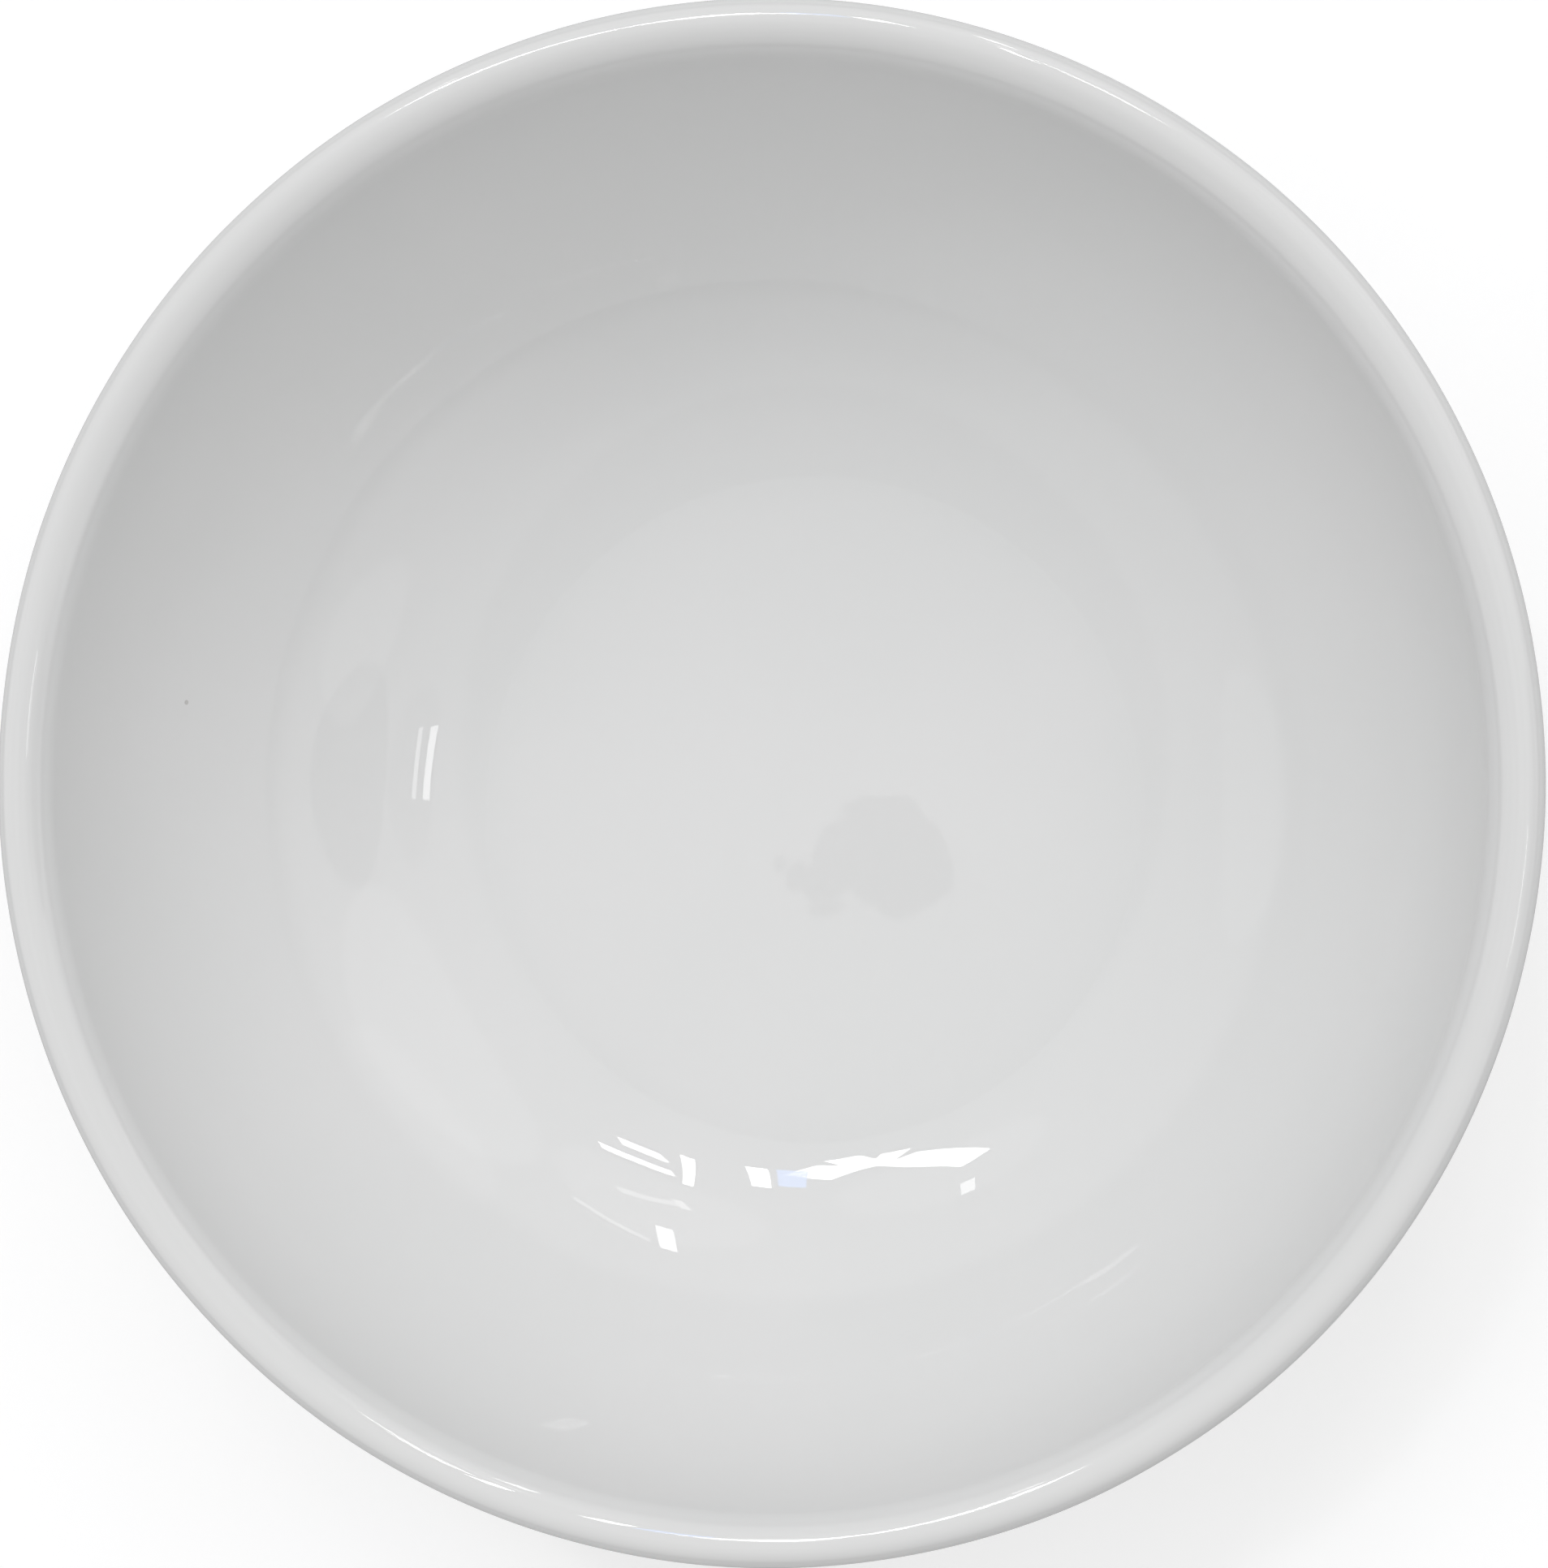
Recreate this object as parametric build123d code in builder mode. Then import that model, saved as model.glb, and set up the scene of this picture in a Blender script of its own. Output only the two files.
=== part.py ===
from build123d import *

import os
from math import cos, radians, sin

# Flat-bottomed porcelain evaporating dish, 100 mm across the rim.
#
# A one-piece fired body carries two fused coats of clear glaze.  The main coat covers the inside, the
# rim and the outside down to the foot.  A second coat covers the underside, inside the foot ring.  The
# foot ring itself stays bare, because the dish stands on it in the kiln.
#
# Frame: millimetres, +Z up the axis of revolution, origin on the bench at the middle of the foot ring.
# Every outline is drawn as (radius, height) in the XZ plane and turned about Z.

# Driving dimensions of the glazed dish
rim_diameter = 100.0
foot_height = 2.2  # bench to the glazed underside of the base
base_thickness = 3.4  # glazed underside to glazed well floor
rim_outer_round = 1.4
rim_inner_round = 2.2
outer_wall_slope = 80.0  # degrees from level, just under the rim
glaze_thickness = 0.25

# Inside of the bare body, from the flat well outwards: slopes are degrees from level
well_corner_radius = 24.3  # where the flat well meets the wall
well_fillet = 2.0
well_edge_slope = 9.0
lower_wall_radius = 22.7
belly_slope = 40.5  # where the lower wall's curve hands over to the upper wall's
inner_wall_slope = 83.0  # just under the rim

# Foot ring of the bare body
foot_outer_radius = 26.2
foot_inner_radius = 23.2
foot_taper = 0.6  # how far each side of the ring leans in over its height
foot_edge_round = 0.5
foot_outer_fillet = 1.6
recess_fillet = 0.8
outer_wall_foot_height = 2.3  # where the outer wall runs into the foot ring
glaze_line = 0.9  # height at which both coats stop on the foot ring

# Heights and radii of the body, under its glaze
body_underside = foot_height + glaze_thickness
body_well_floor = foot_height + base_thickness - glaze_thickness
body_inner_round = rim_inner_round - glaze_thickness
body_outer_round = rim_outer_round - glaze_thickness
foot_top_radius = foot_outer_radius + foot_taper
recess_radius = foot_inner_radius - foot_taper

# The upper wall's curve fills the gap that is left between the belly and the rim's inner round
rim_crest_radius = rim_diameter / 2 - rim_outer_round
wall_top_radius = rim_crest_radius - body_inner_round * sin(radians(inner_wall_slope))
lower_wall_sines = sin(radians(belly_slope)) - sin(radians(well_edge_slope))
upper_wall_sines = sin(radians(inner_wall_slope)) - sin(radians(belly_slope))
belly_radius = well_corner_radius + lower_wall_radius * lower_wall_sines
upper_wall_radius = (wall_top_radius - belly_radius) / upper_wall_sines

# Where two stretches of the body's outline meet, and the fillet between them
corner_rounds = {
    (well_corner_radius, body_well_floor): well_fillet,
    (foot_top_radius, outer_wall_foot_height): foot_outer_fillet,
    (foot_outer_radius, 0): foot_edge_round,
    (foot_inner_radius, 0): foot_edge_round,
    (recess_radius, body_underside): recess_fillet,
}

# Section of the body: well, inner wall, rim, outer wall, foot ring, recess
with BuildSketch(Plane.XZ) as body_section:
    with BuildLine():
        well = Line((0, body_well_floor), (well_corner_radius, body_well_floor))
        up_the_wall = (cos(radians(well_edge_slope)), sin(radians(well_edge_slope)))
        lower_wall = JernArc(well @ 1, up_the_wall, lower_wall_radius, belly_slope - well_edge_slope)
        upper_turn = inner_wall_slope - belly_slope
        upper_wall = JernArc(lower_wall @ 1, lower_wall % 1, upper_wall_radius, upper_turn)
        inner_rim = JernArc(upper_wall @ 1, upper_wall % 1, body_inner_round, -inner_wall_slope)
        outer_rim = JernArc(inner_rim @ 1, inner_rim % 1, body_outer_round, outer_wall_slope - 180)
        outer_wall = TangentArc(
            outer_rim @ 1,
            (foot_top_radius, outer_wall_foot_height),
            tangent=outer_rim % 1,
        )
        Polyline(
            outer_wall @ 1,
            (foot_outer_radius, 0),
            (foot_inner_radius, 0),
            (recess_radius, body_underside),
            (0, body_underside),
            well @ 0,
        )
    make_face()
    for corner, corner_round in corner_rounds.items():
        fillet(body_section.vertices().sort_by_distance(corner)[0], corner_round)

# Section of both coats: one glaze thickness all round the body, above the glaze line
with BuildSketch(Plane.XZ) as glaze_section:
    add(body_section.sketch_local)
    offset(amount=glaze_thickness)
    add(body_section.sketch_local, mode=Mode.SUBTRACT)
    with Locations((0, glaze_line)):
        Rectangle(rim_diameter, rim_diameter, align=Align.MIN, mode=Mode.INTERSECT)
underside_face, main_face = glaze_section.sketch.faces().sort_by(SortBy.AREA)

# Fired porcelain body, bare on the foot ring
with BuildPart() as dish_body:
    add(body_section.sketch)
    revolve(axis=Axis.Z)
dish_body.part.label = "dish_body"

# Glaze over the inside, the rim and the outer wall
with BuildPart() as glaze_coat:
    add(main_face)
    revolve(axis=Axis.Z)
glaze_coat.part.label = "glaze_coat"

# Glaze in the recess under the base
with BuildPart() as underside_glaze:
    add(underside_face)
    revolve(axis=Axis.Z)
underside_glaze.part.label = "underside_glaze"

os.makedirs("parts", exist_ok=True)
for piece in (dish_body, glaze_coat, underside_glaze):
    export_step(piece.part, f"parts/{piece.part.label}.step")
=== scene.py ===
"""Looks for the porcelain evaporating dish: its two coats of glaze, its bare body, and a white studio.

Lengths in this script are millimetres, turned into Blender's metres where a mesh, lamp or camera is
made.  The dish is a body of revolution, so every surface starts as one outline of (radius, height)
points with outward normals.  The small unevenness of the glaze is then added along those normals.
"""

import math

import bmesh
import bpy
import numpy as np
from mathutils import Matrix, Vector, noise


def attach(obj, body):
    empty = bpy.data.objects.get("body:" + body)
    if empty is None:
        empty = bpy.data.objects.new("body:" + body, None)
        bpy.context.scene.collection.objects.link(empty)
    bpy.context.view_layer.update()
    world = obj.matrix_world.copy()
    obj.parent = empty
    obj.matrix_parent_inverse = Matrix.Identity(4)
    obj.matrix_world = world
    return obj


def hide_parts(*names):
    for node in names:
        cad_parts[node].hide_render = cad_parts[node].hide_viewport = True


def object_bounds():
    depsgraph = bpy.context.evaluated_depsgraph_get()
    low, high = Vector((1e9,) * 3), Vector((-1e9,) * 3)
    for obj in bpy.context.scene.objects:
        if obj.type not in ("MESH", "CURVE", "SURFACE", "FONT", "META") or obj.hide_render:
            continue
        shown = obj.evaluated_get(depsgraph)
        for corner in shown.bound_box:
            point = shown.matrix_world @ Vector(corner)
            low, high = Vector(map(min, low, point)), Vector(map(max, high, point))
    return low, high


MM = 0.001
SEGMENTS = 480  # divisions of every turned surface round its axis
BACK_STEP = 6  # a coat's hidden back has one ring for this many points of its outline
BODY_STEP = 3  # the body has one ring for this many points of its outline under the main coat

# Dimensions of the dish that its box doesn't give
GLAZE = 0.25
FOOT_HEIGHT = 2.2
BASE_THICKNESS = 3.4
WELL_CORNER_RADIUS = 24.3
WELL_FILLET = 2.0
WELL_EDGE_SLOPE = 9.0  # degrees from level
LOWER_WALL_RADIUS = 22.7
BELLY_SLOPE = 40.5
INNER_WALL_SLOPE = 83.0
OUTER_WALL_SLOPE = 80.0
RIM_OUTER_ROUND = 1.4
RIM_INNER_ROUND = 2.2
FOOT_OUTER_RADIUS = 26.2
FOOT_INNER_RADIUS = 23.2
FOOT_TAPER = 0.6
FOOT_EDGE_ROUND = 0.5
FOOT_OUTER_FILLET = 1.6
RECESS_FILLET = 0.8
OUTER_WALL_FOOT_HEIGHT = 2.3
GLAZE_LINE = 0.9

# Unevenness of the glaze and of the bare body
NOISE_STEP = (17.3, -5.1, 9.7)  # how far apart the noise of two seeds is read
SWELL = 0.035
SWELL_SIZE = 15.0
RIPPLE = 0.010
RIPPLE_SIZE = 5.5
TURNING_MARK = 0.002
TURNING_PITCH = 2.3
TURNING_REACH = 16.0
EDGE_ROLL = 0.7  # length over which a coat thins out towards its edge
EDGE_BEAD = 0.07  # how much thicker a coat is halfway along BEAD_REACH from its edge
BEAD_REACH = 2.1
EDGE_WAVER = 0.16
EDGE_WAVER_REACH = 0.8
WAVER_CIRCLE = 1.7  # the waver is noise read round a circle of this radius, with lumps of WAVER_SIZE
WAVER_SIZE = 1.0
GRAIN = 0.012
GRAIN_SIZE = 1.1

# Camera: how far it stands from the rim's centre, in rim radii, and how far it leans from straight down,
# in degrees.  The dish stands off the middle of its lens, so the picture is shifted to it, by shares of
# the picture's longer side.
CAMERA_RIGHT = 0.575
CAMERA_DOWN = 0.149
CAMERA_UP = 3.562
LEAN_LEFT = 5.41
LEAN_DOWN = 3.63
LENS = 64.25
SENSOR_WIDTH = 36.0
NEAREST_SEEN = 10.0
SHIFT_X = -0.1042
SHIFT_Y = 0.1955

# Light of the room, and patches of it that are brighter or darker.  A patch has an azimuth and a zenith,
# an inner and an outer radius, all in degrees, and the light that it adds.  It fades between the radii.
ROOM_LIGHT = 0.86
ROOM_PATCHES = (
    (242, 17, 24, 27, -0.3),  # the ceiling away from the windows
    (165, 8.2, 6.9, 7.3, 0.25),  # a pale round of it that the well mirrors
    (270, 68, 15, 40, -0.32),  # the wall away from the windows
    (80, 46, 10.5, 11.5, 0.35),  # the wall round the windows
    (122, 38, 8.5, 9.5, 0.3),
    (38, 50, 18, 19, 0.4),  # a pale wall
    (45, 70, 12.5, 13.5, 0.3),
    (338, 57, 10, 11, 0.4),
    (178, 62, 12.5, 13.5, 0.3),
    (357, 30, 7.5, 8.5, -0.3),  # a dark doorway
    (357, 52, 12.5, 13.5, -0.55),
    (170, 6.6, 1.05, 1.15, -0.8),  # a hanging lamp, switched off, and the arm that it hangs on
    (176.5, 7.4, 0.3, 0.4, -0.8),
    (175.5, 8.0, 0.25, 0.35, -0.8),
    (173.5, 8.6, 0.2, 0.3, -0.7),
)
LEAST_LIGHT = 0.02  # what overlapping dark patches leave
HORIZON_LOW = 0.17  # sine of the height below which only HORIZON_SHARE of the room's light is left
HORIZON_HIGH = 0.36  # sine of the height above which all of it is there
HORIZON_SHARE = 0.05
BACKDROP_LIGHT = 0.96  # what the camera sees past the floor

# Floor: grey to the dish, with a glow that only the camera sees
FLOOR_RADIUS = 3000.0
FLOOR_SEGMENTS = 128
FLOOR_GREY = (0.63, 0.63, 0.63)
FLOOR_PALER = (0.65, 0.65, 0.65)
FLOOR_MOTTLE_SIZE = 40.0
FLOOR_ROUGHNESS = 0.6
FLOOR_SHEEN = 0.2
FLOOR_GLOW = 0.45

# Window panes on flat walls.  A wall is square to the line from the dish to its middle, whose azimuth and
# zenith are given.  A pane's place, width and height are in hundredths of that line's length, and its
# tilt is in degrees.  LAMP_DISTANCE is the line's length in metres.
LAMP_DISTANCE = 2.0
WHITE_SKY = (1.0, 1.0, 1.0)
BLUE_SKY = (0.15, 0.4, 1.0)
WALLS = {
    "window_wall": (105, 31),
    "side_wall": (355, 25),
}
PANES = (
    # wall, name, right, up, width, height, tilt, radiance, colour
    ("window_wall", "sash_low", -24, 3, 12, 2.5, -10, 16, WHITE_SKY),
    ("window_wall", "sash_high", -19, 9, 6.5, 3, -10, 16, WHITE_SKY),
    ("window_wall", "sash_side", -14.5, 5, 1.5, 16.5, -25, 16, WHITE_SKY),
    ("window_wall", "sash_glow", -31, -15.5, 12, 2.5, 5, 2, WHITE_SKY),
    ("window_wall", "sash_spark", -24, -15, 2, 5, 0, 3, WHITE_SKY),
    ("window_wall", "sill_glow", -49, -37.5, 19.5, 2.5, -40, 2, WHITE_SKY),
    ("window_wall", "low_pane", -36, -40, 4, 16.5, -15, 7, WHITE_SKY),
    ("window_wall", "narrow_pane", -4, 7.5, 2.5, 12, -15, 16, WHITE_SKY),
    ("window_wall", "blue_pane", 0, 7.5, 3.5, 10.5, -15, 5.5, BLUE_SKY),
    ("window_wall", "long_pane_left", 4.5, 10.5, 7.5, 6.5, 47, 16, WHITE_SKY),
    ("window_wall", "long_pane_peak", 8.5, 14, 3.5, 8.5, 15, 16, WHITE_SKY),
    ("window_wall", "long_pane_bend", 11.5, 13, 3, 7, -20, 16, WHITE_SKY),
    ("window_wall", "long_pane_right", 17.5, 3, 19, 5, -58, 16, WHITE_SKY),
    ("window_wall", "far_pane", 22.5, -20, 2.5, 7.5, 5, 5, WHITE_SKY),
    ("side_wall", "side_pane", 0, 2.5, 9.5, 4, 0, 5, WHITE_SKY),
    ("side_wall", "side_gap", 0, -5, 10, 2.5, 0, 3, WHITE_SKY),
)

# Colours and finish of the glaze.  Heights and sizes are millimetres.
GLAZE_WHITE = (0.802, 0.802, 0.800)
GLAZE_COOL = (0.790, 0.793, 0.790)
GLAZE_POOLED = (0.72, 0.76, 0.745)
GLAZE_THIN = (0.77, 0.77, 0.765)
CLOUD_SIZE = 26.0
POOL_SHARE = 0.06  # how far the colour goes to GLAZE_POOLED along the well's corner
POOL_NEAR = 0.4  # distance from the corner up to which the glaze is fully pooled
POOL_FAR = 2.6
POOL_LOW = 4.0  # height up to which it can be pooled
POOL_HIGH = 8.0
THIN_SHARE = 0.7  # how far the colour goes to GLAZE_THIN on top of the rim
THIN_LOW = 32.1
THIN_HIGH = 33.3
IRON = (0.22, 0.19, 0.16)
IRON_SPACING = 8.5
IRON_SHARE = 0.14  # share of the cells that have a speck
IRON_RADIUS = 0.13
IRON_STRENGTH = 0.35
GLOSS_LOW = 0.0
GLOSS_HIGH = 0.02
GLOSS_SIZE = 3.2
PEEL_DEPTH = 0.0012
PEEL_SIZE = 2.4
GLAZE_IOR = 1.52

# Colours and finish of the bare body
BODY_WHITE = (0.78, 0.76, 0.71)
BODY_WARM = (0.74, 0.70, 0.63)
BODY_MOTTLE_SIZE = 5.0
GRIT = (0.35, 0.31, 0.26)
GRIT_SPACING = 1.3
GRIT_SHARE = 0.25
GRIT_RADIUS = 0.09
GRIT_STRENGTH = 0.5
RUBBED = (0.45, 0.44, 0.42)
RUBBED_STRENGTH = 0.45
RUBBED_LOW = 0.02  # height up to which the foot is fully rubbed
RUBBED_HIGH = 0.25
RUBBED_SIZE = 2.2
PORE_SIZE = 0.22
PORE_DEPTH = 0.02
BODY_ROUGHNESS_LOW = 0.7
BODY_ROUGHNESS_HIGH = 0.9


# ---------------------------------------------------------------- outline of the bare body

def direction_at(degrees):
    return np.array([math.cos(math.radians(degrees)), math.sin(math.radians(degrees))])


def angle_of(vector):
    return math.degrees(math.atan2(vector[1], vector[0]))


def unit(vector):
    return vector / np.linalg.norm(vector)


def left_of(direction):
    return np.array([-direction[1], direction[0]])


def centre_of_arc(start, travel, end):
    """Centre of the circle that leaves start along travel and passes through end."""
    chord = end - start
    side = left_of(travel)
    return start + side * (chord @ chord) / (2 * chord @ side)


def line_meets_circle(point, direction, centre, radius):
    """The crossing of a line and a circle that lies furthest along the line's direction."""
    along = (centre - point) @ direction
    across = (centre - point) @ left_of(direction)
    return point + direction * (along + math.sqrt(radius ** 2 - across ** 2))


def line_meets_line(point, direction, other_point, other_direction):
    across = left_of(other_direction)
    return point + direction * ((other_point - point) @ across) / (direction @ across)


class Outline:
    """Points (radius, height) with outward normals, drawn with the solid on the right of travel.

    Every stretch stops one step short of its end, where the next one starts.
    """

    def __init__(self):
        self.points = []
        self.normals = []

    def line(self, start, end, steps):
        for t in np.linspace(0, 1, steps, endpoint=False):
            self.points.append(start + (end - start) * t)
            self.normals.append(left_of(unit(end - start)))

    def arc(self, centre, radius, start_angle, end_angle, steps):
        """Clockwise arcs bulge out of the solid, and the others are hollows."""
        outward = 1 if end_angle < start_angle else -1
        for angle in np.linspace(start_angle, end_angle, steps, endpoint=False):
            self.points.append(centre + radius * direction_at(angle))
            self.normals.append(outward * direction_at(angle))

    def end(self, point):
        self.points.append(point)
        self.normals.append(self.normals[-1])
        self.points = np.array(self.points)
        self.normals = np.array(self.normals)

    def reversed(self):
        """The same run drawn the other way, with its normals as they are."""
        other = Outline()
        other.points = self.points[::-1]
        other.normals = self.normals[::-1]
        return other

    def to_the_end(self):
        """Distance along the outline from each point to its last one."""
        steps = np.linalg.norm(np.diff(self.points, axis=0), axis=1)
        return np.append(np.cumsum(steps[::-1])[::-1], 0)


def inside_outline(outline, rim_radius):
    """Well, inner wall and rim, drawn outwards from the axis."""
    floor = FOOT_HEIGHT + BASE_THICKNESS - GLAZE
    inner_round = RIM_INNER_ROUND - GLAZE
    outer_round = RIM_OUTER_ROUND - GLAZE
    corner = np.array([WELL_CORNER_RADIUS, floor])
    lower = corner + LOWER_WALL_RADIUS * direction_at(90 + WELL_EDGE_SLOPE)
    belly = lower + LOWER_WALL_RADIUS * direction_at(BELLY_SLOPE - 90)
    across = direction_at(INNER_WALL_SLOPE - 90) - direction_at(BELLY_SLOPE - 90)
    wall_top_radius = rim_radius - RIM_OUTER_ROUND - inner_round * direction_at(INNER_WALL_SLOPE)[1]
    upper_wall_radius = (wall_top_radius - belly[0]) / across[0]
    upper = belly - upper_wall_radius * direction_at(BELLY_SLOPE - 90)
    wall_top = upper + upper_wall_radius * direction_at(INNER_WALL_SLOPE - 90)
    inner_rim = wall_top + inner_round * direction_at(INNER_WALL_SLOPE - 90)
    outer_rim = inner_rim + [0, inner_round - outer_round]
    axis_above_floor = np.array([0, floor + WELL_FILLET])
    well = line_meets_circle(axis_above_floor, direction_at(0), lower, LOWER_WALL_RADIUS - WELL_FILLET)
    well_angle = angle_of(well - lower)

    outline.line(np.array([0, floor]), well - [0, WELL_FILLET], steps=26)
    outline.arc(well, WELL_FILLET, -90, well_angle, steps=6)
    outline.arc(lower, LOWER_WALL_RADIUS, well_angle, BELLY_SLOPE - 90, steps=20)
    outline.arc(upper, upper_wall_radius, BELLY_SLOPE - 90, INNER_WALL_SLOPE - 90, steps=36)
    outline.arc(inner_rim, inner_round, 90 + INNER_WALL_SLOPE, 90, steps=12)
    outline.arc(outer_rim, outer_round, 90, OUTER_WALL_SLOPE - 90, steps=14)
    return outer_rim + outer_round * direction_at(OUTER_WALL_SLOPE - 90)


def body_outlines(rim_radius):
    """Three runs of the bare body's outline: under the main coat, the bare foot, under the other coat."""
    foot = np.array([FOOT_OUTER_RADIUS, 0])
    foot_top = foot + [FOOT_TAPER, OUTER_WALL_FOOT_HEIGHT]
    side = unit(foot - foot_top)
    side_out = left_of(side)
    recess_corner = np.array([FOOT_INNER_RADIUS - FOOT_TAPER, FOOT_HEIGHT + GLAZE])
    inner_foot = np.array([FOOT_INNER_RADIUS, 0])
    inner_side = unit(recess_corner - inner_foot)
    inner_side_out = left_of(inner_side)
    down = direction_at(-90)
    inwards = direction_at(180)

    coated = Outline()
    rim_end = inside_outline(coated, rim_radius)
    wall = centre_of_arc(rim_end, direction_at(OUTER_WALL_SLOPE - 180), foot_top)
    wall_radius = np.linalg.norm(rim_end - wall)
    fillet = line_meets_circle(
        foot_top + FOOT_OUTER_FILLET * side_out, side, wall, wall_radius + FOOT_OUTER_FILLET)
    outer_edge = foot - side * GLAZE_LINE / -side[1]
    coated.arc(wall, wall_radius, OUTER_WALL_SLOPE - 90, angle_of(fillet - wall), steps=42)
    coated.arc(fillet, FOOT_OUTER_FILLET, angle_of(wall - fillet), angle_of(-side_out), steps=8)
    coated.line(fillet - FOOT_OUTER_FILLET * side_out, outer_edge, steps=8)
    coated.end(outer_edge)

    bare = Outline()
    r = FOOT_EDGE_ROUND
    outer_round = line_meets_line(foot - r * side_out, side, foot - r * down, inwards)
    inner_round = line_meets_line(inner_foot - r * inner_side_out, inner_side, foot - r * down, inwards)
    inner_edge = inner_foot + inner_side * GLAZE_LINE / inner_side[1]
    bare.line(outer_edge, outer_round + r * side_out, steps=6)
    bare.arc(outer_round, r, angle_of(side_out), -90, steps=9)
    bare.line(outer_round + r * down, inner_round + r * down, steps=12)
    bare.arc(inner_round, r, -90, angle_of(inner_side_out), steps=9)
    bare.line(inner_round + r * inner_side_out, inner_edge, steps=6)
    bare.end(inner_edge)

    recess = Outline()
    r = RECESS_FILLET
    fillet = line_meets_line(
        recess_corner + r * inner_side_out, inner_side, recess_corner + r * down, inwards)
    recess.line(inner_edge, fillet - r * inner_side_out, steps=8)
    recess.arc(fillet, r, angle_of(-inner_side_out), 90, steps=8)
    recess.line(fillet - r * down, np.array([0, recess_corner[1]]), steps=22)
    recess.end(np.array([0, recess_corner[1]]))
    return coated, bare, recess


# ---------------------------------------------------------------- turned surfaces

def around():
    """Cosine and sine of every division round the axis, one row each."""
    angles = np.linspace(0, 2 * math.pi, SEGMENTS, endpoint=False)
    return np.stack([np.cos(angles), np.sin(angles)], axis=1)


def turn(point):
    """One ring of 3-D points from a (radius, height) point, or from one such point per division."""
    radius, height = np.broadcast_to(point, (SEGMENTS, 2)).T
    return np.column_stack([around() * radius[:, None], height])


def smooth_noise(points, size, seed):
    """Noise between -1 and 1 with lumps about as big as size, at each point."""
    offset = seed * Vector(NOISE_STEP)
    values = [noise.noise(Vector(p) / size + offset, noise_basis="PERLIN_NEW") for p in points]
    return np.array(values)


def glaze_unevenness(ring):
    """How far below its full thickness the glaze lies: never above it, so the dish keeps its size."""
    radius = np.hypot(ring[:, 0], ring[:, 1])
    angle = np.arctan2(ring[:, 1], ring[:, 0])
    in_the_well = ring[:, 2] < FOOT_HEIGHT + BASE_THICKNESS + 1
    fade = np.clip(1 - radius / TURNING_REACH, 0, 1) * in_the_well
    marks = TURNING_MARK * fade * (np.sin(2 * math.pi * radius / TURNING_PITCH + angle) - 1)
    swell = SWELL * (smooth_noise(ring, SWELL_SIZE, seed=1) - 1)
    ripple = RIPPLE * (smooth_noise(ring, RIPPLE_SIZE, seed=2) - 1)
    return swell + ripple + marks


def coat_rings(outline, seed):
    """Rings of a coat's outside, its wavering edge, and its back against the body, in that order.

    The outline runs from the axis to the coat's edge.
    """
    from_edge = outline.to_the_end()
    thinning = np.sqrt(1 - (1 - np.clip(from_edge / EDGE_ROLL, 0, 1)) ** 2)
    bead = EDGE_BEAD * np.sin(math.pi * np.clip(from_edge / BEAD_REACH, 0, 1)) ** 2
    waver = EDGE_WAVER * smooth_noise(turn((WAVER_CIRCLE, 0)), WAVER_SIZE, seed)
    travel = unit(outline.points[-1] - outline.points[-2])
    rings = []
    stretch = zip(outline.points, outline.normals, thinning, bead, from_edge)
    for point, normal, thin, extra, gap in stretch:
        ring = turn(point)
        lift = GLAZE * thin + extra + glaze_unevenness(ring) * thin
        slide = waver * max(0, 1 - gap / EDGE_WAVER_REACH)
        rings.append(turn(point + normal * lift[:, None] + travel * slide[:, None]))
    behind = zip(outline.points[::BACK_STEP], from_edge[::BACK_STEP])
    backs = [turn(point) for point, gap in behind if gap > 2 * EDGE_WAVER]
    return rings + backs[::-1]


def skin(name, rings):
    """A closed mesh through rings of points in millimetres.  The first and last ring shrink to poles."""
    mesh = bmesh.new()
    loops = [[mesh.verts.new(p * MM) for p in ring] for ring in rings[1:-1]]
    for low, high in zip(loops, loops[1:]):
        for i in range(SEGMENTS):
            mesh.faces.new((low[i - 1], low[i], high[i], high[i - 1]))
    for loop, ring in ((loops[0], rings[0]), (loops[-1], rings[-1])):
        pole = mesh.verts.new(ring.mean(axis=0) * MM)
        for i in range(SEGMENTS):
            mesh.faces.new((loop[i - 1], loop[i], pole))
    bmesh.ops.recalc_face_normals(mesh, faces=mesh.faces)
    data = bpy.data.meshes.new(name)
    mesh.to_mesh(data)
    mesh.free()
    data.shade_smooth()
    piece = bpy.data.objects.new(name, data)
    bpy.context.scene.collection.objects.link(piece)
    return piece


def body_rings(coated, bare, recess):
    """Rings of the bare body from the well's centre round to the recess's, with a grainy foot."""
    rings = [turn(point) for point in coated.points[:-1:BODY_STEP]]
    for point, normal in zip(bare.points, bare.normals):
        ring = turn(point)
        sink = GRAIN * (smooth_noise(ring, GRAIN_SIZE, seed=3) - 1) / 2
        rings.append(turn(point + normal * sink[:, None]))
    return rings + [turn(point) for point in recess.points[1:]]


# ---------------------------------------------------------------- materials

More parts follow.
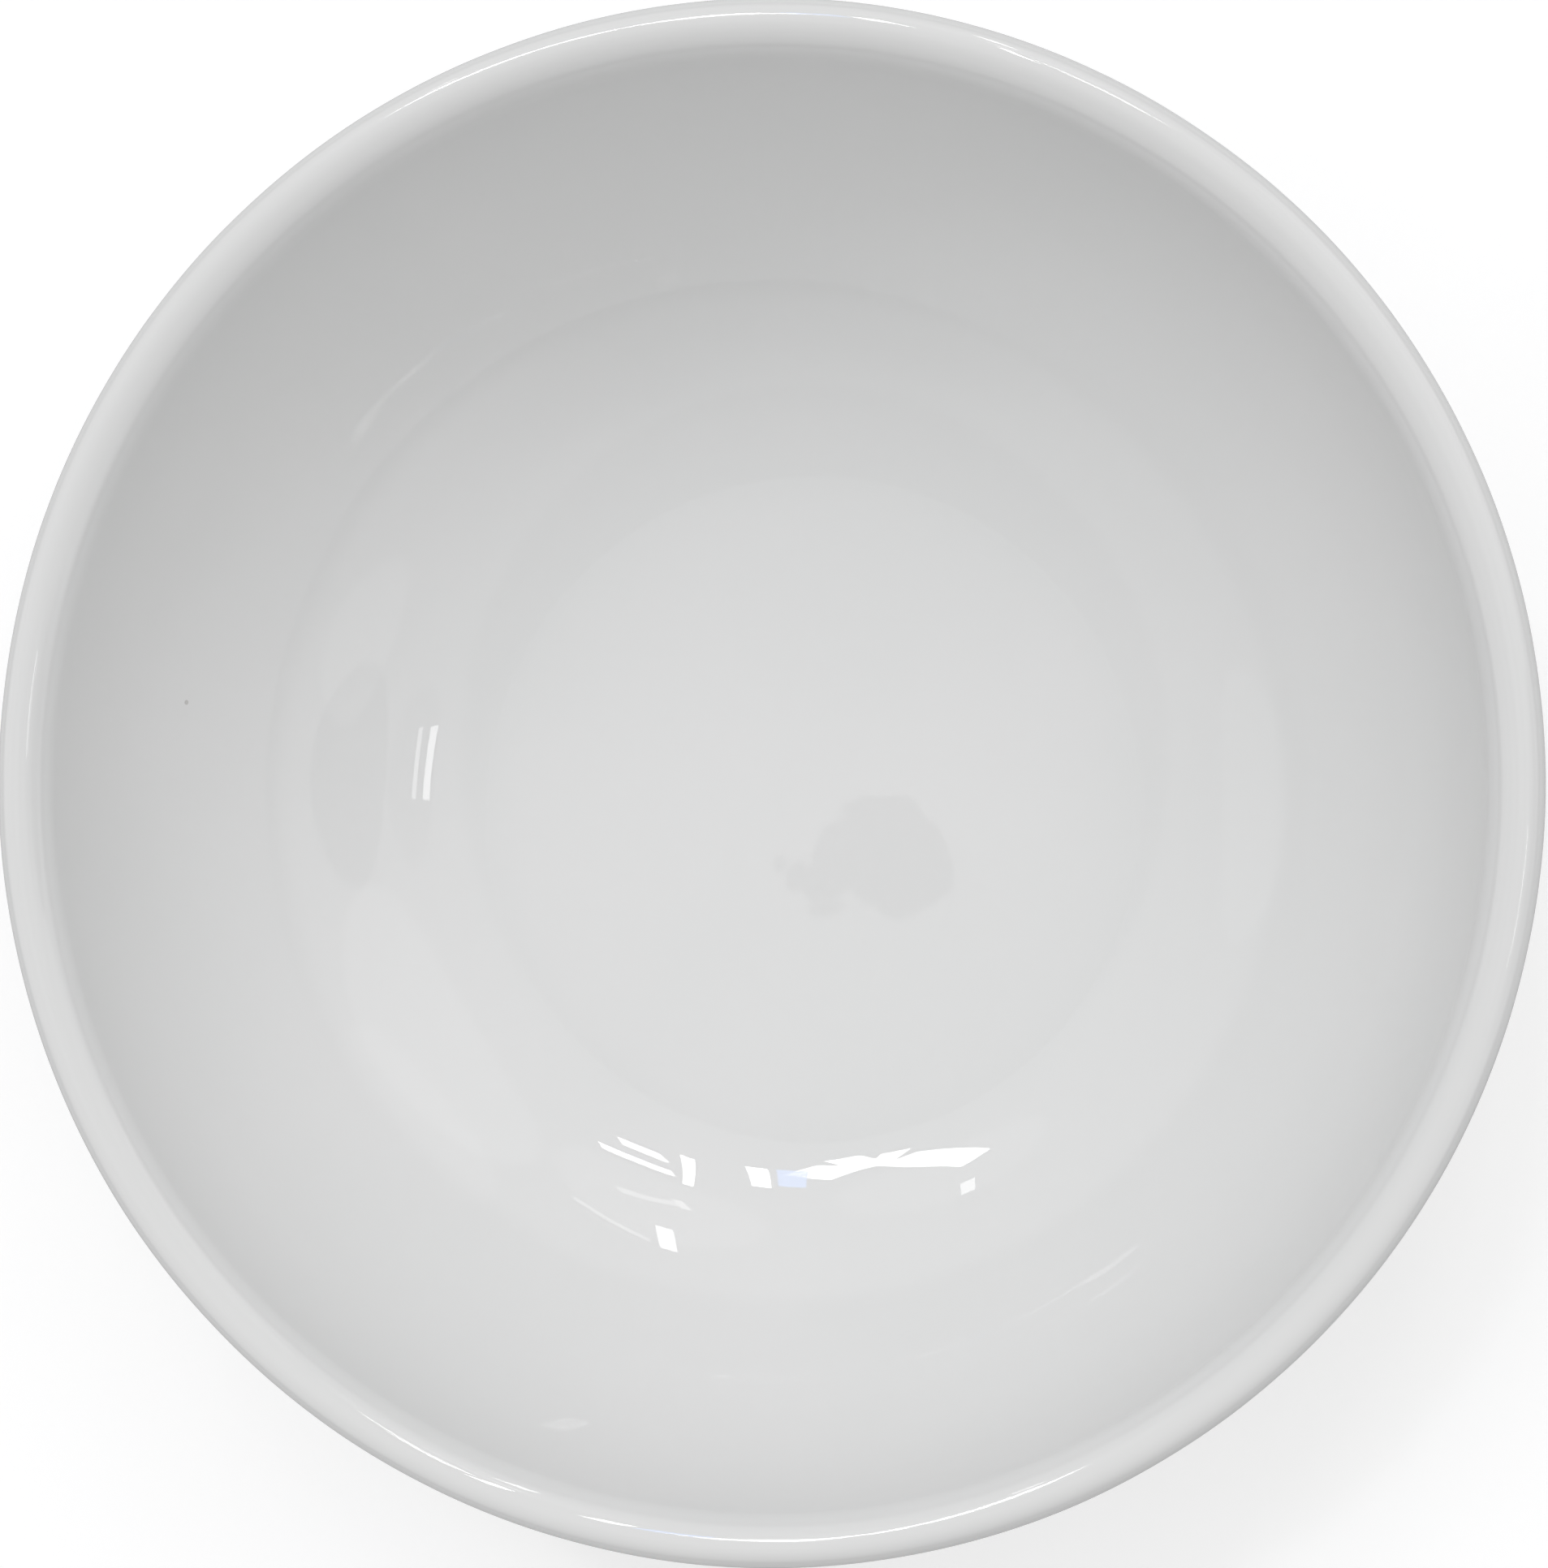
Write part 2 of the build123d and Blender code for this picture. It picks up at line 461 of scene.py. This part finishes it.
class Shader:
    """Adds nodes to a new material or world and wires them up."""

    def __init__(self, owner):
        owner.use_nodes = True
        self.tree = owner.node_tree
        self.tree.nodes.clear()

    def plug(self, socket, value):
        """Links a node's output to the socket, or sets the socket to a plain value."""
        if isinstance(value, bpy.types.NodeSocket):
            self.tree.links.new(value, socket)
        else:
            socket.default_value = value

    def add(self, kind, settings=None, **inputs):
        """Adds a node.  An underscore in an input's name stands for a space."""
        node = self.tree.nodes.new(kind)
        for name, value in (settings or {}).items():
            setattr(node, name, value)
        for name, value in inputs.items():
            self.plug(node.inputs[name.replace("_", " ")], value)
        return node

    def maths(self, operation, *values):
        node = self.add("ShaderNodeMath", {"operation": operation})
        for socket, value in zip(node.inputs, values):
            self.plug(socket, value)
        return node.outputs[0]

    def vector_maths(self, operation, *vectors):
        """A number worked out from one or two vectors."""
        node = self.add("ShaderNodeVectorMath", {"operation": operation})
        for socket, vector in zip(node.inputs, vectors):
            self.plug(socket, vector)
        return node.outputs["Value"]

    def ramp(self, value, low, high, at_low=0.0, at_high=1.0):
        """Goes smoothly from at_low to at_high as value goes from low to high."""
        node = self.add(
            "ShaderNodeMapRange",
            {"interpolation_type": "SMOOTHSTEP"},
            Value=value,
            From_Min=low,
            From_Max=high,
            To_Min=at_low,
            To_Max=at_high,
        )
        return node.outputs[0]

    def mix(self, share, colour, other):
        """Goes from colour, which may be a node's output, to a plain colour."""
        node = self.add("ShaderNodeMix", {"data_type": "RGBA"}, Factor=share)
        first, second = [socket for socket in node.inputs if socket.type == "RGBA"]
        self.plug(first, colour if isinstance(colour, bpy.types.NodeSocket) else (*colour, 1))
        self.plug(second, (*other, 1))
        return node.outputs[2]

    def millimetres(self):
        """The shaded point's place in the dish's own frame, in millimetres."""
        place = self.add("ShaderNodeTexCoord").outputs["Object"]
        node = self.add("ShaderNodeVectorMath", {"operation": "SCALE"}, Vector=place, Scale=1 / MM)
        return node.outputs[0]

    def noise(self, place, size, detail=2.0, roughness=0.5):
        """Noise from 0 to 1 with lumps about as big as size, in millimetres."""
        node = self.add(
            "ShaderNodeTexNoise",
            Vector=place,
            Scale=1 / size,
            Detail=detail,
            Roughness=roughness,
        )
        return node.outputs[0]


def specks(shader, place, spacing, share, radius):
    """1 inside scattered dots.  Cells are about spacing wide, and only this share of them has a dot."""
    cells = shader.add("ShaderNodeTexVoronoi", Vector=place, Scale=1 / spacing, Randomness=1.0)
    pick = shader.add("ShaderNodeSeparateColor", Color=cells.outputs["Color"])
    chosen = shader.maths("LESS_THAN", pick.outputs[0], share)
    size = shader.maths("MULTIPLY_ADD", pick.outputs[1], radius / spacing, radius / spacing / 2)
    inside = shader.maths("LESS_THAN", cells.outputs["Distance"], size)
    return shader.maths("MULTIPLY", chosen, inside)


def glaze_material():
    """Clear gloss glaze over white porcelain: pooled and greener round the well, thin over the rim."""
    material = bpy.data.materials.new("white_glaze")
    s = Shader(material)
    place = s.millimetres()
    parts = s.add("ShaderNodeSeparateXYZ", Vector=place)
    flat = s.add("ShaderNodeCombineXYZ", X=parts.outputs[0], Y=parts.outputs[1])
    radius = s.vector_maths("LENGTH", flat.outputs[0])
    height = parts.outputs[2]

    cloud = s.noise(place, CLOUD_SIZE, detail=3.0)
    base = s.mix(s.ramp(cloud, 0.35, 0.65), GLAZE_WHITE, GLAZE_COOL)
    off_corner = s.maths("ABSOLUTE", s.maths("SUBTRACT", radius, WELL_CORNER_RADIUS))
    near_corner = s.ramp(off_corner, POOL_NEAR, POOL_FAR, 1.0, 0.0)
    low = s.ramp(height, POOL_LOW, POOL_HIGH, 1.0, 0.0)
    pooled = s.maths("MULTIPLY", s.maths("MULTIPLY", near_corner, low), POOL_SHARE)
    base = s.mix(pooled, base, GLAZE_POOLED)
    thin = s.maths("MULTIPLY", s.ramp(height, THIN_LOW, THIN_HIGH), THIN_SHARE)
    base = s.mix(thin, base, GLAZE_THIN)
    iron = specks(s, place, IRON_SPACING, IRON_SHARE, IRON_RADIUS)
    base = s.mix(s.maths("MULTIPLY", iron, IRON_STRENGTH), base, IRON)

    gloss = s.noise(place, GLOSS_SIZE, detail=2.0)
    roughness = s.ramp(gloss, 0.3, 0.7, GLOSS_LOW, GLOSS_HIGH)
    peel = s.noise(place, PEEL_SIZE, detail=1.0)
    bump = s.add("ShaderNodeBump", Strength=1.0, Distance=PEEL_DEPTH * MM, Height=peel)
    surface = s.add(
        "ShaderNodeBsdfPrincipled",
        Base_Color=base,
        Roughness=roughness,
        IOR=GLAZE_IOR,
        Normal=bump.outputs[0],
    )
    s.add("ShaderNodeOutputMaterial", Surface=surface.outputs[0])
    return material


def body_material():
    """Bare fired porcelain: matt, fine-grained, a little grey where the foot has rubbed on shelves."""
    material = bpy.data.materials.new("bare_porcelain")
    s = Shader(material)
    place = s.millimetres()
    height = s.add("ShaderNodeSeparateXYZ", Vector=place).outputs[2]

    mottle = s.noise(place, BODY_MOTTLE_SIZE, detail=4.0)
    base = s.mix(s.ramp(mottle, 0.3, 0.7), BODY_WHITE, BODY_WARM)
    grit = specks(s, place, GRIT_SPACING, GRIT_SHARE, GRIT_RADIUS)
    base = s.mix(s.maths("MULTIPLY", grit, GRIT_STRENGTH), base, GRIT)
    near_shelf = s.ramp(height, RUBBED_LOW, RUBBED_HIGH, 1.0, 0.0)
    patchy = s.ramp(s.noise(place, RUBBED_SIZE, detail=3.0), 0.4, 0.7)
    rubbed = s.maths("MULTIPLY", near_shelf, patchy)
    base = s.mix(s.maths("MULTIPLY", rubbed, RUBBED_STRENGTH), base, RUBBED)

    pores = s.noise(place, PORE_SIZE, detail=3.0, roughness=0.65)
    roughness = s.ramp(pores, 0.2, 0.8, BODY_ROUGHNESS_LOW, BODY_ROUGHNESS_HIGH)
    bump = s.add("ShaderNodeBump", Strength=1.0, Distance=PORE_DEPTH * MM, Height=pores)
    surface = s.add(
        "ShaderNodeBsdfPrincipled",
        Base_Color=base,
        Roughness=roughness,
        Normal=bump.outputs[0],
    )
    s.add("ShaderNodeOutputMaterial", Surface=surface.outputs[0])
    return material


def floor_material():
    """Pale grey matt paper.  It glows for the camera alone, which therefore sees it near white."""
    material = bpy.data.materials.new("pale_floor")
    s = Shader(material)
    mottle = s.noise(s.millimetres(), FLOOR_MOTTLE_SIZE, detail=4.0)
    seen = s.add("ShaderNodeLightPath").outputs["Is Camera Ray"]
    surface = s.add(
        "ShaderNodeBsdfPrincipled",
        Base_Color=s.mix(mottle, FLOOR_GREY, FLOOR_PALER),
        Roughness=FLOOR_ROUGHNESS,
        Specular_IOR_Level=FLOOR_SHEEN,
        Emission_Color=(1, 1, 1, 1),
        Emission_Strength=s.maths("MULTIPLY", seen, FLOOR_GLOW),
    )
    s.add("ShaderNodeOutputMaterial", Surface=surface.outputs[0])
    return material


# ---------------------------------------------------------------- studio

def add_floor():
    mesh = bmesh.new()
    bmesh.ops.create_circle(mesh, cap_ends=True, radius=FLOOR_RADIUS * MM, segments=FLOOR_SEGMENTS)
    data = bpy.data.meshes.new("floor")
    mesh.to_mesh(data)
    mesh.free()
    data.materials.append(floor_material())
    floor = bpy.data.objects.new("floor", data)
    bpy.context.scene.collection.objects.link(floor)


def add_camera(rim_radius, height):
    """Looks down at the dish from a little to the right of and below its axis."""
    camera = bpy.data.objects.new("camera", bpy.data.cameras.new("camera"))
    camera.data.lens = LENS
    camera.data.shift_x = SHIFT_X
    camera.data.shift_y = SHIFT_Y
    camera.data.sensor_width = SENSOR_WIDTH
    camera.data.clip_start = NEAREST_SEEN * MM
    away = Vector((CAMERA_RIGHT, -CAMERA_DOWN, CAMERA_UP)) * rim_radius
    place = (away + Vector((0, 0, height - RIM_OUTER_ROUND))) * MM
    lean_left = math.tan(math.radians(LEAN_LEFT))
    lean_down = math.tan(math.radians(LEAN_DOWN))
    forward = Vector((-lean_left, -lean_down, -1)).normalized()
    right = forward.cross(Vector((0, 1, 0))).normalized()
    axes = Matrix((right, right.cross(forward), -forward)).transposed()
    camera.matrix_world = Matrix.LocRotScale(place, axes, None)
    bpy.context.scene.collection.objects.link(camera)
    bpy.context.scene.camera = camera


def towards(azimuth, zenith):
    """Unit vector towards a point of the sky.  Azimuth runs from +X over +Y, zenith from straight up."""
    a, z = math.radians(azimuth), math.radians(zenith)
    return Vector((math.sin(z) * math.cos(a), math.sin(z) * math.sin(a), math.cos(z)))


def add_world():
    """A pale room: soft patches of ceiling and wall, a dark horizon, and white for the camera."""
    world = bpy.data.worlds.new("studio_air")
    bpy.context.scene.world = world
    s = Shader(world)
    sky = s.add("ShaderNodeTexCoord").outputs["Generated"]
    total = ROOM_LIGHT
    for azimuth, zenith, inner, outer, light in ROOM_PATCHES:
        facing = s.vector_maths("DOT_PRODUCT", sky, towards(azimuth, zenith))
        edge = math.cos(math.radians(outer))
        full = math.cos(math.radians(inner))
        total = s.maths("ADD", total, s.ramp(facing, edge, full, 0, light))
    up = s.add("ShaderNodeSeparateXYZ", Vector=sky).outputs[2]
    above_horizon = s.ramp(up, HORIZON_LOW, HORIZON_HIGH, HORIZON_SHARE, 1.0)
    total = s.maths("MULTIPLY", s.maths("MAXIMUM", total, LEAST_LIGHT), above_horizon)
    seen = s.add("ShaderNodeLightPath").outputs["Is Camera Ray"]
    lit = s.maths("MULTIPLY", total, s.maths("SUBTRACT", 1.0, seen))
    total = s.maths("ADD", lit, s.maths("MULTIPLY", seen, BACKDROP_LIGHT))
    light = s.add("ShaderNodeBackground", Color=(1.0, 1.0, 1.0, 1.0), Strength=total)
    s.add("ShaderNodeOutputWorld", Surface=light.outputs[0])


def add_panes():
    """Window panes that light the dish and show in its glaze, each flat on its wall."""
    for wall, name, right, up, width, height, tilt, radiance, colour in PANES:
        out = towards(*WALLS[wall])
        level = Vector((0, 0, 1)).cross(out).normalized()
        basis = Matrix((level, out.cross(level), out)).transposed()
        unit_length = LAMP_DISTANCE / 100
        lamp = bpy.data.lights.new(name, "AREA")
        lamp.shape = "RECTANGLE"
        lamp.size = width * unit_length
        lamp.size_y = height * unit_length
        lamp.energy = radiance * math.pi * lamp.size * lamp.size_y
        lamp.color = colour
        pane = bpy.data.objects.new(name, lamp)
        bpy.context.scene.collection.objects.link(pane)
        place = out * LAMP_DISTANCE + basis @ Vector((right, up, 0)) * unit_length
        turned = Matrix.Rotation(math.radians(tilt), 4, "Z")
        pane.matrix_world = Matrix.LocRotScale(place, basis, None) @ turned
        pane.visible_camera = False


# ---------------------------------------------------------------- the scene

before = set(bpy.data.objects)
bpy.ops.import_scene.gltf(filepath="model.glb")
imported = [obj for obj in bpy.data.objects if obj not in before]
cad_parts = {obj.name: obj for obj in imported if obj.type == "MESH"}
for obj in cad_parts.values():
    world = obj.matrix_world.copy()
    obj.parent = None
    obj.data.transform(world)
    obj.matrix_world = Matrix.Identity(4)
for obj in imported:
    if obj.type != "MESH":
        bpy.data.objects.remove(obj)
cad_low, cad_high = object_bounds()
rim_radius = (cad_high.x - cad_low.x) / 2 / MM
height = cad_high.z / MM
coated, bare, recess = body_outlines(rim_radius)
glaze = glaze_material()

for name, rings, material, slot in (
    ("glaze_coat", coat_rings(coated, seed=4), glaze, "glaze"),
    ("underside_glaze", coat_rings(recess.reversed(), seed=5), glaze, "glaze"),
    ("dish_body", body_rings(coated, bare, recess), body_material(), "porcelain"),
):
    piece = skin(name + "_turned", rings)
    piece.data.materials.append(material)
    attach(piece, "root")
    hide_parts(name)

add_floor()
add_world()
add_panes()
add_camera(rim_radius, height)
bpy.context.scene.view_settings.view_transform = "Standard"
